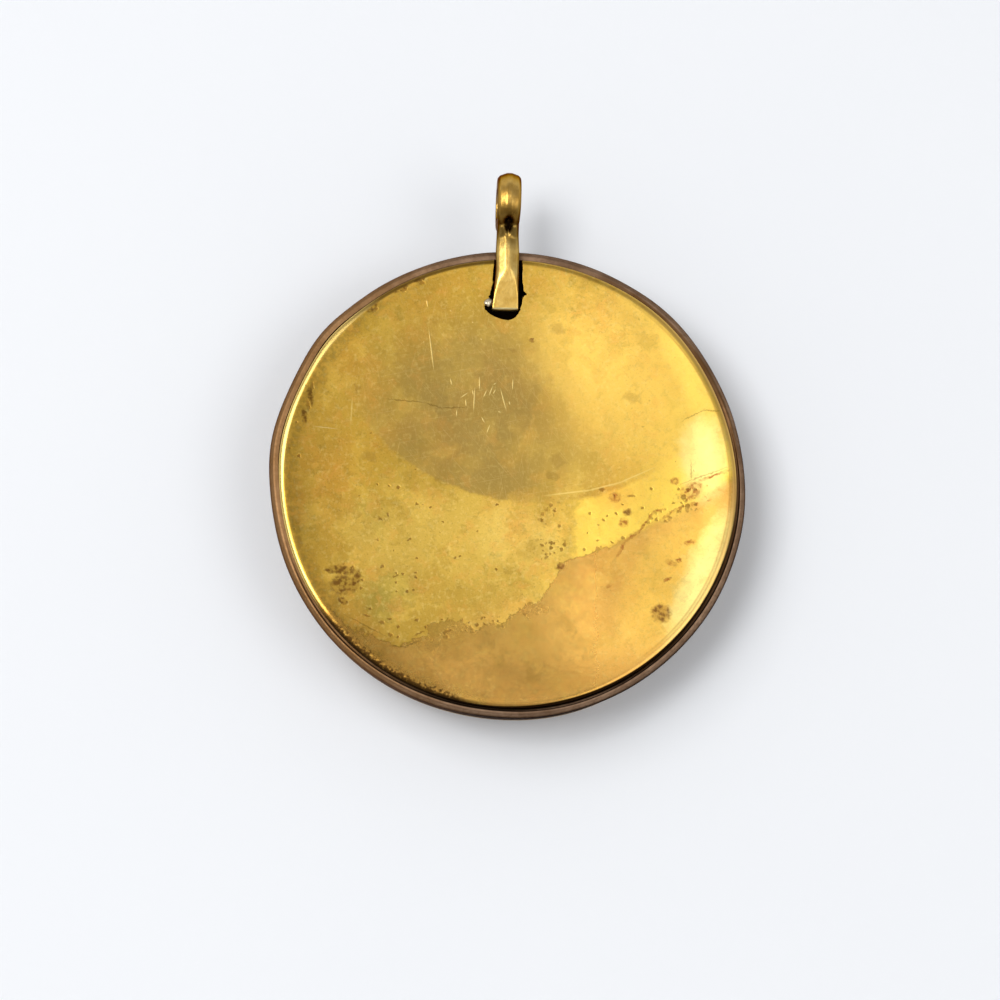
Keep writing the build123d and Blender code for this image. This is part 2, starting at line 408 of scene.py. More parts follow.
def petal_points(turn):
    """A petal: a pointed outline between two arcs, laid on the dome's front. Its front swells over a
    rounded edge to a raised border, with a midrib and slanting veins, and its back lies on the dome."""
    middle = (petal_start + petal_tip) / 2
    widest = middle * np.sin(np.pi / petal_count) - petal_gap / 2
    ends = np.array([(petal_start, petal_base_width / 2), (middle, widest), (petal_tip, 0.0)])
    side = np.linalg.solve(np.column_stack([2 * ends, np.ones(3)]), (ends**2).sum(1))
    arc_radius = np.sqrt(side[2] + side[0] ** 2 + side[1] ** 2)
    share = (1 - np.cos(np.linspace(0, np.pi, 61)))[:, None] / 2
    across = np.sin(np.linspace(-np.pi / 2, np.pi / 2, 41))[None]
    along = petal_start + share * (petal_tip - petal_start)
    half = side[1] + np.sqrt(np.maximum(arc_radius**2 - (along - side[0]) ** 2, 0))
    half = np.maximum(half, 0)
    flank = np.abs(across)
    edge = np.sqrt(1 - flank**8) * np.sqrt(1 - np.abs(2 * share - 1) ** 24)
    border = 0.15 * np.exp(-(((flank - 0.8) / 0.1) ** 2))
    midrib = 0.14 * np.exp(-((flank / 0.07) ** 2)) * (1 - share)
    veins = 0.08 * np.cos(TURN * (share * 7 - flank * 1.6)) * (1 - flank) * ease(flank / 0.2)
    lift = edge * (petal_sheet - 0.16 + border + midrib + veins)
    place_x, place_y = along + 0 * across, half * across
    radius = np.hypot(place_x, place_y)
    angle = np.arctan2(place_y, place_x) + turn
    front = turned(radius, dome_front(radius) - lift, angle)
    back = turned(radius, dome_front(radius), angle)
    return front, back


def rope_points():
    """A two-strand twisted wire: round the ring its section, two lobes, turns once for each twist. The
    side on the border is pressed flat."""
    thick = (rope_high[2] - rope_low[2] + wire_sunk) / 2
    ring = rope_high[0] - thick
    twists = 64
    angle = np.linspace(0, TURN, twists * 22 + 1)[None]
    swing = np.linspace(0, TURN, 21)[:, None]
    reach = thick * (0.62 + 0.38 * np.abs(np.cos(swing - angle * twists / 2)) ** 0.8)
    height = rope_low[2] + thick + reach * np.sin(swing)
    return turned(ring + reach * np.cos(swing), np.minimum(height, border_z), angle)


def bead_points():
    """A beaded wire: round the ring its section swells to a half circle at each bead and narrows between."""
    thick = (bead_high[2] - bead_low[2] + wire_sunk) / 2
    ring = bead_high[1] - thick
    neck = 0.4
    beads = 29
    angle = np.linspace(0, TURN, beads * 18 + 1)[None]
    off = (np.mod(angle * beads / TURN + 0.5, 1) - 0.5) * TURN * ring / beads
    reach = np.maximum(np.sqrt(np.maximum(thick**2 - off**2, 0)), neck)
    swing = np.linspace(0, TURN, 21)[:, None]
    height = bead_low[2] + thick + reach * np.sin(swing)
    return turned(ring + reach * np.cos(swing), np.minimum(height, seat_z), angle)


def collar_points():
    """The collar round the stone: a thin closed profile whose lip is pushed over the stone's shoulder."""
    outer = bezel_high[0]
    inner = outer - 0.4
    lip = bezel_low[2]
    radius = np.array([
        inner, outer, outer, outer - 0.06, outer - 0.2, outer - 0.42, inner - 0.06, inner, inner,
    ])
    height = np.array([
        seat_z, seat_z, lip + 0.4, lip + 0.14, lip, lip - 0.02, lip + 0.06, lip + 0.35, seat_z,
    ])
    angle = np.linspace(0, TURN, 241)[None]
    pressed = (np.abs(height - seat_z) > 0.7)[:, None] * ripple(angle, 20, 60, 0.05, 51)
    return turned(radius[:, None] + pressed, height[:, None], angle)


def stone_points():
    """The stone: flat face, rounded shoulder, straight girdle and flat back, carried round."""
    outer = stone_high[0]
    shoulder, girdle = 1.5, 0.9
    rise = stone_high[2] - girdle
    bend = np.linspace(0, np.pi / 2, 15)
    radius = np.concatenate([
        np.linspace(0, outer - shoulder, 16),
        outer - shoulder + shoulder * np.sin(bend[1:]),
        [outer],
        np.linspace(outer, 0, 8),
    ])
    height = np.concatenate([
        np.zeros(16), rise * (1 - np.cos(bend[1:])), [rise + girdle / 2], np.full(8, stone_high[2]),
    ])
    angle = np.linspace(0, TURN, 145)[None]
    return turned(radius[:, None], height[:, None] + 0 * angle, angle)


def paper_points():
    """The paper strip: level leaves joined by half-round folds at alternate ends, with wavy leaves and
    uneven long edges. Returns the points and the length of the strip along the folds."""
    leaves, pitch = 6, 0.5
    thickness = paper_high[2] - paper_low[2] - (leaves - 1) * pitch
    fold_x = (paper_high[0] - paper_low[0] - pitch - thickness) / 2
    leaf_run = np.linspace(-fold_x, fold_x, 40)
    fold_run = np.linspace(-np.pi / 2, np.pi / 2, 9)[1:-1]
    x_parts, z_parts = [], []
    for leaf in range(leaves):
        side = 1 if leaf % 2 == 0 else -1
        level = paper_low[2] + thickness / 2 + leaf * pitch
        x_parts += [side * leaf_run, side * (fold_x + pitch / 2 * np.cos(fold_run))]
        z_parts += [np.full(leaf_run.size, level), level + pitch / 2 * (1 + np.sin(fold_run))]
    x, z = np.concatenate(x_parts[:-1])[:, None], np.concatenate(z_parts[:-1])[:, None]
    length = np.hypot(np.diff(x[:, 0]), np.diff(z[:, 0])).sum()
    across = np.linspace(-1, 1, 33)[None]
    half = (paper_high[1] - paper_low[1]) / 2
    travel = np.linspace(0, TURN, x.shape[0])[:, None]
    deckle = ripple(travel, 20, 90, 0.12, 61)
    y = across * half + deckle * across
    off_fold = np.clip(1 - np.abs(x / fold_x) ** 6, 0, 1)
    wave = 0.035 * np.sin(x * 0.55 + travel * 3) * np.cos(across * 2.2) * off_fold
    return np.stack(np.broadcast_arrays(x, y, z + wave), -1), length


# Colours and finishes

def linear(code):
    """A colour's sRGB hex code as linear red, green, blue and alpha."""
    channel = np.array([int(code[place:place + 2], 16) for place in (1, 3, 5)]) / 255
    low, high = channel / 12.92, ((channel + 0.055) / 1.055) ** 2.4
    return (*np.where(channel <= 0.04045, low, high).tolist(), 1.0)


def fill(tree, node, sockets):
    """Fills a node's sockets: a node or an output is linked, and anything else is a value."""
    for key, value in sockets.items():
        socket = node.inputs[key] if isinstance(key, int) else next(
            s for s in node.inputs if s.enabled and s.name == key
        )
        if isinstance(value, bpy.types.Node):
            tree.links.new(next(s for s in value.outputs if s.enabled), socket)
        elif isinstance(value, bpy.types.NodeSocket):
            tree.links.new(value, socket)
        else:
            socket.default_value = value


def add(tree, kind, sockets=None, **settings):
    """Adds a node of a kind, sets its settings and then fills its sockets."""
    node = tree.nodes.new("ShaderNode" + kind)
    for setting, value in settings.items():
        setattr(node, setting, value)
    fill(tree, node, sockets or {})
    return node


def material(name):
    """An empty material: its node tree, with the shader and the output already joined."""
    made = bpy.data.materials.new(name)
    made.use_nodes = True
    tree = made.node_tree
    tree.nodes.clear()
    shader = add(tree, "BsdfPrincipled")
    add(tree, "OutputMaterial", {"Surface": shader})
    return made, tree, shader


def millimetres(tree):
    """The piece's own coordinates, in millimetres."""
    place = add(tree, "TexCoord")
    return add(tree, "VectorMath", {0: place.outputs["Object"], 1: (1 / MM,) * 3}, operation="MULTIPLY")


def overlap(tree, *masks):
    """Where all of some masks hold, and how strongly: the product of the masks and numbers."""
    product = masks[0]
    for mask in masks[1:]:
        product = add(tree, "Math", {0: product, 1: mask}, operation="MULTIPLY")
    return product


def towards(tree, where, direction, start, end, most=1.0):
    """A mask that grows in one direction: nothing at one distance from the middle, its most at another."""
    reach = add(tree, "VectorMath", {0: where, 1: direction}, operation="DOT_PRODUCT")
    return add(tree, "MapRange", {"Value": reach, "From Min": start, "From Max": end, "To Max": most})


def facing_up(tree, start, end, most=1.0):
    """A mask by how much a face looks up: nothing at one height of its normal, its most at another."""
    facing = add(tree, "NewGeometry")
    height = add(tree, "SeparateXYZ", {"Vector": facing.outputs["Normal"]}).outputs["Z"]
    return add(tree, "MapRange", {"Value": height, "From Min": start, "From Max": end, "To Max": most})


def paint(tree, tone, coats):
    """Lays coats over a tone in turn. A coat is a colour's code and the mask of where it shows."""
    for code, mask in coats:
        tone = add(tree, "Mix", {"Factor": mask, "A": tone, "B": linear(code)}, data_type="RGBA")
    return tone


def streaks(tree, where, heading, length, width, least):
    """Fine straight scratches in one direction: noise drawn out along the heading, cut off below a level."""
    own = add(
        tree, "Mapping",
        {"Vector": where, "Rotation": (0, 0, np.radians(heading)), "Scale": (length, width, width)},
        vector_type="TEXTURE",
    )
    noise = add(tree, "TexNoise", {"Vector": own, "Scale": 1.0, "Detail": 1.0})
    return add(tree, "MapRange", {"Value": noise, "From Min": least, "From Max": least + 0.06})


def spots(tree, where, places, soft, most=1.0):
    """Marks at set places, each an ellipse: centre x and y, half-length, half-width and heading. A mark is
    full inside and falls to nothing across its soft edge, which is a share of its size. The third coordinate
    of the place is 1, so that one dot product gives the distance along an ellipse's axis from its centre."""
    nearest = None
    for x, y, half_length, half_width, heading in places:
        run, rise = np.cos(np.radians(heading)), np.sin(np.radians(heading))
        along = np.array((run, rise, -x * run - y * rise)) / half_length
        aside = np.array((-rise, run, x * rise - y * run)) / half_width
        u = add(tree, "VectorMath", {0: where, 1: along}, operation="DOT_PRODUCT")
        v = add(tree, "VectorMath", {0: where, 1: aside}, operation="DOT_PRODUCT")
        square = add(tree, "Math", {0: v, 1: v}, operation="MULTIPLY")
        square = add(tree, "Math", {0: u, 1: u, 2: square}, operation="MULTIPLY_ADD")
        if nearest is not None:
            square = add(tree, "Math", {0: nearest, 1: square}, operation="MINIMUM")
        nearest = square
    outer, inner = (1 + soft) ** 2, (1 - soft) ** 2
    return add(
        tree, "MapRange", {"Value": nearest, "From Min": outer, "From Max": inner, "To Max": most},
        interpolation_type="SMOOTHSTEP",
    )


def lines(ends, half_width):
    """Places for spots() that draw straight scratches between two ends, given as x, y, x, y."""
    places = []
    for x1, y1, x2, y2 in ends:
        run_x, run_y = x2 - x1, y2 - y1
        heading = np.degrees(np.arctan2(run_y, run_x))
        places.append(((x1 + x2) / 2, (y1 + y2) / 2, np.hypot(run_x, run_y) / 2, half_width, heading))
    return places


def specks(tree, where, spacing, size, share):
    """Scattered round pits: each cell of a random grid has a centre, and a share of the cells a pit there."""
    cell = add(tree, "TexVoronoi", {"Vector": where, "Scale": 1 / spacing})
    draw = add(tree, "SeparateXYZ", {"Vector": cell.outputs["Color"]})
    reach = add(tree, "Math", {0: draw, 1: size / spacing}, operation="MULTIPLY")
    near = add(tree, "Math", {0: reach, 1: cell.outputs["Distance"]}, operation="SUBTRACT")
    pit = add(tree, "MapRange", {"Value": near, "From Min": 0.0, "From Max": 0.35 * size / spacing})
    kept = add(tree, "Math", {0: draw.outputs["Y"], 1: share}, operation="LESS_THAN")
    return overlap(tree, pit, kept)


def above_line(tree, where, line, soft):
    """1 above a drawn line and 0 below it; the line is given as places x, y from left to right."""
    across, heights = np.array(line).T
    low, rise = heights.min(), heights.max() - heights.min()
    start, run = across[0], across[-1] - across[0]
    axes = add(tree, "SeparateXYZ", {"Vector": where})
    share = add(tree, "MapRange", {"Value": axes.outputs["X"], "From Min": start, "From Max": start + run})
    curve = add(tree, "FloatCurve", {"Value": share})
    knots = curve.mapping.curves[0].points
    for x, y in line[1:-1]:
        knots.new((x - start) / run, (y - low) / rise)
    knots[0].location = (0, (heights[0] - low) / rise)
    knots[-1].location = (1, (heights[-1] - low) / rise)
    for knot in knots:
        knot.handle_type = "VECTOR"
    curve.mapping.update()
    over = add(tree, "Math", {0: curve, 1: -rise, 2: axes.outputs["Y"]}, operation="MULTIPLY_ADD")
    return add(tree, "MapRange", {"Value": over, "From Min": low - soft, "From Max": low + soft})


# Marks on the back cover, in millimetres from the middle of the box. A spot is x, y, half-length, half-width
# and heading, a scratch is the x, y of both its ends, and a stain has its colour and strength before its spot.
# Two of the stains, near the right edge, are painted highlights.
dull_disc = ((3.0, 21.0, 23.4, 23.4, 0),)
dull_core = ((-1.5, 6.7, 11, 9, 0),)
pale_core = ((-4.5, -8.6, 12.5, 8, 0),)
worn_line = (
    (-23.0, -10.1), (-18.5, -14.0), (-17.0, -15.6), (-13.3, -17.1), (-11.3, -17.9), (-9.7, -17.1),
    (-8.7, -16.7), (-7.9, -15.5), (-6.1, -14.9), (-4.7, -14.7), (-3.8, -16.1), (-2.4, -15.7), (-0.9, -15.0),
    (0.4, -14.2), (2.2, -13.0), (3.8, -12.1), (5.0, -10.0), (5.6, -8.9), (6.6, -8.4), (8.0, -7.6),
    (10.6, -7.0), (12.5, -6.2), (14.8, -4.8), (17.9, -3.5), (21.6, -0.9), (23.5, 0.2),
)
stains = (
    ("#f6c95e", 0.8, (12.5, 12.4, 9, 6, -45)),
    ("#d9b14f", 0.4, (11, 4.9, 7, 4.5, 20)),
    ("#d9b650", 0.6, (20, 7.4, 2.4, 4, 15)),
    ("#c4983c", 0.6, (-20, 0.2, 3, 9, 0)),
    ("#b8943c", 0.75, (-8.5, -13.8, 7, 3, -8)),
    ("#9c9244", 0.5, (-12.3, -12.5, 2.4, 1.7, 20)),
    ("#a39645", 0.4, (-15.4, -4.4, 1.9, 1.9, 0)),
    ("#b8a24a", 0.2, (4.8, -5.0, 2.4, 3.4, 0)),
    ("#f2bd5e", 0.75, (4.5, -17.4, 8, 3.6, 5)),
    ("#f0cc66", 0.6, (1.2, -5.8, 3.2, 2.6, 0)),
    ("#cf9a48", 0.4, (9.5, -12.0, 4, 3, 20)),
    ("#ffce5c", 0.8, (17.6, -10.6, 3.4, 6, -28)),
    # Painted highlight along the plate's right edge
    ("#fdea92", 0.85, (20.4, -10.2, 1.6, 6, -26)),
    ("#c8974a", 0.6, (-2, -21.8, 8, 1.8, 0)),
    ("#b8893c", 0.5, (-15.4, -16.8, 6, 1.8, -42)),
    # Painted highlight along the plate's right edge
    ("#f8e592", 0.7, (20.6, 2.5, 1.8, 3.2, 0)),
    ("#d58f3c", 0.3, (11.2, -1.7, 1.5, 0.9, 0)),
    ("#b0813c", 0.35, (-5.5, -17.6, 3, 1.2, 10)),
)
brown_spots = (
    (15.9, -14.1, 1.0, 0.95, 0), (5.5, -9.1, 0.42, 0.36, 0), (2.5, 15.2, 0.26, 0.22, 0),
    (12.5, -3.3, 0.47, 0.4, 0),
)
small_pits = (
    (-8.1, -2.9, 0.14, 0.1, 0), (-10.3, -6.4, 0.2, 0.12, 30), (-13.1, -9.3, 0.17, 0.13, 0),
    (-11.7, -10.3, 0.3, 0.09, 25), (-11.0, -10.1, 0.15, 0.15, 0), (-9.9, -11.8, 0.16, 0.12, 0),
    (-12.3, -14.9, 0.18, 0.15, 0), (-13.1, -15.3, 0.22, 0.15, 0), (-9.5, -15.0, 0.2, 0.15, 0),
    (-12.2, -16.6, 0.2, 0.18, 0), (-14.7, -14.6, 0.35, 0.1, -15), (-9.6, -9.9, 0.15, 0.12, 0),
    (-15.2, -10.8, 0.14, 0.12, 0), (-15.3, -11.7, 0.14, 0.14, 0), (-5.5, -8.3, 0.18, 0.1, 40),
    (-9.2, -16.4, 0.5, 0.1, 25), (9.4, -6.3, 0.15, 0.13, 0), (10.9, -6.5, 0.2, 0.1, -20),
    (8.0, -7.3, 0.15, 0.15, 0), (10.0, -4.1, 0.2, 0.13, 10), (8.6, -3.4, 0.15, 0.12, 0),
    (9.9, -0.8, 0.25, 0.2, 0), (13.0, -1.5, 0.4, 0.12, 0), (12.0, -6.0, 0.2, 0.16, 0),
    (-21.0, 7.8, 0.2, 0.5, 10), (-20.6, 9.8, 0.16, 0.4, 0), (-14.1, 18.2, 0.35, 0.2, 40),
    (-9.1, 21.2, 0.3, 0.18, 20), (-11.0, 20.4, 0.3, 0.16, 30),
)
faint_spots = (
    (13.1, 9.1, 0.75, 0.42, 10), (5.4, 16.5, 0.55, 0.42, 0), (-14.7, 2.4, 0.55, 0.42, 0),
    (5.2, 2.3, 0.5, 0.4, 0), (4.9, 0.6, 0.45, 0.3, 0), (-15.9, 9.7, 0.2, 0.2, 0), (0.5, 14.1, 0.2, 0.2, 0),
    (-7.8, -17.9, 0.5, 0.3, 30),
)
pit_places = (
    (4.9, -3.9, 1.3, 1.4, 0), (4.5, -6.6, 1.2, 1.6, 10), (-13.1, -3.8, 0.7, 0.6, 0),
    (17.4, -2.9, 3.6, 0.7, 27), (19.6, -1.6, 1.6, 1.4, 30), (-2.5, -15.3, 5.0, 0.5, 15),
)
rust_spots = (
    (19.1, -1.1, 0.9, 0.7, 20), (19.6, -0.4, 0.6, 0.35, 0), (19.4, -2.4, 0.45, 0.2, 0),
    (17.5, 0.1, 0.4, 0.3, 0), (11.2, -1.7, 0.5, 0.45, 0), (19.0, -6.5, 0.5, 0.22, 10),
    (17.0, -8.7, 0.5, 0.25, -20), (17.8, -8.4, 0.25, 0.2, 0), (16.6, -10.5, 0.45, 0.14, 25),
    (10.5, -11.2, 0.28, 0.14, 20), (12.1, -4.4, 0.4, 0.4, 0),
)
rust_line = (
    (11.4, -8.0, 12.2, -6.5), (12.2, -6.5, 13.8, -5.2), (13.8, -5.2, 14.6, -4.1), (14.6, -4.1, 15.3, -3.1),
    (15.3, -3.1, 16.2, -3.0), (16.2, -3.9, 17.2, -3.3), (16.8, -3.4, 18.6, -2.5), (20.0, 0.1, 22.8, 1.1),
)
blot_spots = (
    (-17.3, -9.8, 1.3, 0.45, -5), (-15.9, -11.0, 0.4, 1.1, -15), (-17.3, -11.4, 1.1, 1.0, 0),
    (-17.2, -13.1, 0.5, 0.3, -40), (-18.6, -9.9, 0.5, 0.25, -20), (-14.3, 18.5, 0.8, 0.3, 40),
    (-11.4, 20.5, 0.8, 0.25, 28), (-9.4, 21.5, 0.6, 0.2, 20), (-20.8, 8.8, 0.25, 1.0, 12),
    (-21.4, 6.6, 0.25, 0.7, 5),
)
bright_scratches = (
    (-8.3, 15.7, -7.9, 12.5), (-3.5, 9.7, -3.6, 7.9), (-0.7, 9.6, -0.25, 7.9), (-3.0, 11.0, -3.0, 10.0),
    (-5.4, 7.5, -5.4, 7.0), (-20.1, 5.5, -18.1, 5.3), (-1.0, 7.5, -0.8, 7.4), (-3.8, 17.1, -3.7, 17.0),
    (-2.9, 15.3, -2.8, 15.2), (-8.6, 19.3, -8.5, 18.7), (-6.1, 18.3, -6.0, 18.2), (-8.9, 14.9, -8.9, 14.8),
)
scratch_draw = np.random.default_rng(81)
scratch_count = 12
scratch_middle, scratch_scatter = (-3.0, 8.2), (2.6, 1.6)
run_middle, run_scatter = (0.05, 0.5), (0.25, 0.25)
scratch_start = scratch_draw.normal(scratch_middle, scratch_scatter, (scratch_count, 2))
scratch_run = scratch_draw.normal(run_middle, run_scatter, (scratch_count, 2))
short_scratches = np.hstack([scratch_start, scratch_start + scratch_run]).tolist()
# The first three lines trace the dull disc's lower-right edge as a painted highlight; the last is a pale
# scratch
disc_edge_highlight_and_scratch = (
    (4.8, -1.4, 8.6, -0.9), (8.6, -0.9, 11.7, -0.1), (11.7, -0.1, 14.8, 1.3), (-16.5, 6.2, -16.4, 8.2),
)
dark_scratches = (
    (-12.4, 8.6, -8.7, 8.3), (-8.7, 8.3, -7.0, 7.8), (-7.0, 7.8, -4.4, 7.9), (-12.2, -17.8, -10.7, -17.9),
    (-10.7, -17.9, -9.2, -17.2), (-16.5, -14.8, -13.2, -16.5), (19.2, 2.1, 19.2, 0.4),
    (18.5, -0.1, 22.5, 1.4), (18.6, 6.7, 20.5, 7.7), (20.5, 7.7, 22.2, 7.6),
)


def cover_brass():
    """Old sheet brass: a dull disc where it was once wet, a pale matt patch worn through along a ragged line,
    smooth orange metal below it, and stains, pits, scratches and grime. Painted light is laid on as well: the
    worn band lighter at the right, painted highlights on the left edge, near the right edge and along the
    disc's lower edge, a painted tan sheen on the right edge and painted shade inside the left edge. The
    underside is dark, with tarnish and painted shade, and the skirt and the cut edges are painted shade."""
    made, tree, shader = material("old_hand_worn_sheet_brass")
    where = millimetres(tree)
    flat = add(tree, "VectorMath", {0: where, 1: (1, 1, 0), 2: (0, 0, 1)}, operation="MULTIPLY_ADD")
    wobble = add(tree, "TexNoise", {"Vector": flat, "Scale": 0.8, "Detail": 6.0, "Roughness": 0.62})
    half = (0.5, 0.5, 0.5)
    shift = add(tree, "VectorMath", {0: wobble.outputs["Color"], 1: half}, operation="SUBTRACT")
    ragged = add(tree, "VectorMath", {0: shift, 1: (2.8, 2.8, 0), 2: flat}, operation="MULTIPLY_ADD")
    steady = add(tree, "VectorMath", {0: shift, 1: (0.9, 0.9, 0), 2: flat}, operation="MULTIPLY_ADD")
    crumble = add(tree, "TexNoise", {"Vector": flat, "Scale": 3.2, "Detail": 3.0})
    fine_shift = add(tree, "VectorMath", {0: crumble.outputs["Color"], 1: half}, operation="SUBTRACT")
    jagged = add(tree, "VectorMath", {0: fine_shift, 1: (0.45, 0.45, 0), 2: flat}, operation="MULTIPLY_ADD")
    axes = add(tree, "SeparateXYZ", {"Vector": ragged})

    # Zones
    whole_disc = spots(tree, steady, dull_disc, 0.012)
    disc_part = add(tree, "MapRange", {"Value": axes.outputs["X"], "From Min": 17.5, "From Max": 11.0})
    disc = overlap(tree, whole_disc, disc_part)
    core = spots(tree, ragged, dull_core, 0.7)
    ragged_worn = above_line(tree, ragged, worn_line, 0.1)
    soft_worn = above_line(tree, steady, worn_line, 0.5)
    soft_part = add(tree, "MapRange", {"Value": axes.outputs["X"], "From Min": 9.0, "From Max": 14.0})
    worn = add(tree, "Mix", {"Factor": soft_part, "A": ragged_worn, "B": soft_worn})
    outside = add(tree, "Math", {0: 1.0, 1: disc}, operation="SUBTRACT")
    band = overlap(tree, worn, outside)
    # Right of x = 7 the worn band is painted lighter: partly wear, partly painted light where the plate faces
    # the light
    right_part = add(tree, "MapRange", {"Value": axes.outputs["X"], "From Min": 6.4, "From Max": 7.4})
    bright = overlap(tree, band, right_part)
    left_band = add(tree, "Math", {0: band, 1: bright}, operation="SUBTRACT")
    pale_part = spots(tree, ragged, pale_core, 0.32)
    pale = overlap(tree, left_band, pale_part)
    dull = overlap(tree, disc, core)
    smooth = add(tree, "Math", {0: 1.0, 1: worn}, operation="SUBTRACT")

    tone = paint(tree, linear("#d0a742"), (
        ("#9b8042", dull), ("#ffd65a", bright), ("#d2ae4e", pale), ("#d9a652", smooth),
    ))
    tone = paint(tree, tone, (
        (code, spots(tree, ragged, (place,), 0.8, strength)) for code, strength, place in stains
    ))

    # Patina: clouds of noise of falling size, weaker in the dull disc, the bright band and the smooth metal
    faded = overlap(tree, bright, 0.5)
    faded = add(tree, "Math", {0: dull, 1: 0.6, 2: faded}, operation="MULTIPLY_ADD")
    faded = add(tree, "Math", {0: smooth, 1: 0.35, 2: faded}, operation="MULTIPLY_ADD")
    clear = add(tree, "Math", {0: 1.0, 1: faded}, operation="SUBTRACT")
    for scale, least, most, strength, code in (
        (0.13, 0.48, 0.72, 0.35, "#d8903a"), (0.23, 0.5, 0.68, 0.45, "#f4cc5c"),
        (0.36, 0.5, 0.7, 0.45, "#a07c28"), (0.6, 0.52, 0.7, 0.4, "#e2a04a"),
        (1.1, 0.52, 0.72, 0.35, "#8a7430"), (2.2, 0.52, 0.68, 0.3, "#f4d880"),
        (5.0, 0.55, 0.7, 0.35, "#7d5a22"),
    ):
        place = ragged if scale < 2 else flat
        cloud = add(tree, "TexNoise", {"Vector": place, "Scale": scale, "Detail": 5.0, "Roughness": 0.6})
        full = overlap(tree, clear, strength)
        mask = add(tree, "MapRange", {"Value": cloud, "From Min": least, "From Max": most, "To Max": full})
        tone = paint(tree, tone, [(code, mask)])

    # Small marks
    small = spots(tree, jagged, small_pits, 0.5, 0.9)
    faint = spots(tree, ragged, faint_spots, 0.8, 0.28)
    clots = add(tree, "TexNoise", {"Vector": flat, "Scale": 2.2, "Detail": 4.0})
    clot_part = add(tree, "MapRange", {"Value": clots, "From Min": 0.4, "From Max": 0.58, "To Min": 0.35})
    brown_part = spots(tree, jagged, brown_spots, 0.3)
    brown_most = add(tree, "MapRange", {
        "Value": clots, "From Min": 0.4, "From Max": 0.6, "To Min": 0.45, "To Max": 0.9,
    })
    brown = overlap(tree, brown_part, brown_most)
    blot_part = spots(tree, jagged, blot_spots, 0.4, 0.9)
    blot = overlap(tree, blot_part, clot_part)
    rust_part = spots(tree, jagged, rust_spots + tuple(lines(rust_line, 0.13)), 0.6, 0.9)
    rust = overlap(tree, rust_part, clot_part)
    pit_zone = spots(tree, ragged, pit_places, 0.6)
    thick_pits = specks(tree, jagged, 0.46, 0.34, 0.8)
    zone_pits = overlap(tree, pit_zone, thick_pits)
    thin_pits = specks(tree, jagged, 0.95, 0.22, 0.5)
    wide_pits = overlap(tree, thin_pits, band)
    pits = add(tree, "Math", {0: zone_pits, 1: wide_pits}, operation="MAXIMUM")
    pits = add(tree, "Math", {0: pits, 1: small}, operation="MAXIMUM")
    pit_tone = overlap(tree, pits, 0.7)
    dark_lines = spots(tree, jagged, lines(dark_scratches, 0.06), 0.6, 0.45)
    pale_scratch_and_highlight = spots(tree, flat, lines(disc_edge_highlight_and_scratch, 0.06), 0.8, 0.45)
    bright_lines = spots(tree, flat, lines((*bright_scratches, *short_scratches), 0.042), 0.7, 0.5)
    right_smooth = overlap(tree, smooth, soft_part)
    torn_side = add(tree, "MapRange", {"Value": soft_part, "To Min": 2.4, "To Max": 0.0})
    torn = overlap(tree, worn, smooth, torn_side)
    fine_lines = None
    for heading, length in ((78, 3.0), (12, 4.0), (-50, 3.5), (100, 2.5)):
        some = streaks(tree, flat, heading, length, 0.06, 0.67)
        if fine_lines is not None:
            some = add(tree, "Math", {0: fine_lines, 1: some}, operation="MAXIMUM")
        fine_lines = some
    fine_most = add(tree, "MapRange", {"Value": disc, "To Min": 0.1, "To Max": 0.15})
    fine = overlap(tree, fine_lines, fine_most)

    # Grime: dark and ragged with a halo at the lower left. The olive inside the left edge is painted shade
    reach = add(tree, "VectorMath", {0: ragged, 1: (0, 0, 1)}, operation="DISTANCE")
    strip = add(tree, "MapRange", {"Value": reach, "From Min": 21.7, "From Max": 22.9})
    left_part = towards(tree, flat, (-1, 0, 0), 6.0, 18.0, 0.5)
    olive_painted_shade = overlap(tree, strip, left_part, clot_part)
    low_part = towards(tree, jagged, (-0.52, -0.85, 0), 21.6, 22.6)
    halo_strip = add(tree, "MapRange", {"Value": reach, "From Min": 22.8, "From Max": 23.6, "To Max": 0.3})
    halo = overlap(tree, halo_strip, low_part)
    round_reach = add(tree, "VectorMath", {0: flat, 1: (0, 0, 1)}, operation="DISTANCE")
    torn_reach = add(tree, "Math", {0: crumble, 1: 2.0, 2: round_reach}, operation="MULTIPLY_ADD")
    deep_strip = add(tree, "MapRange", {
        "Value": torn_reach, "From Min": 24.1, "From Max": 24.8, "To Max": 0.9,
    })
    grime = overlap(tree, deep_strip, low_part)

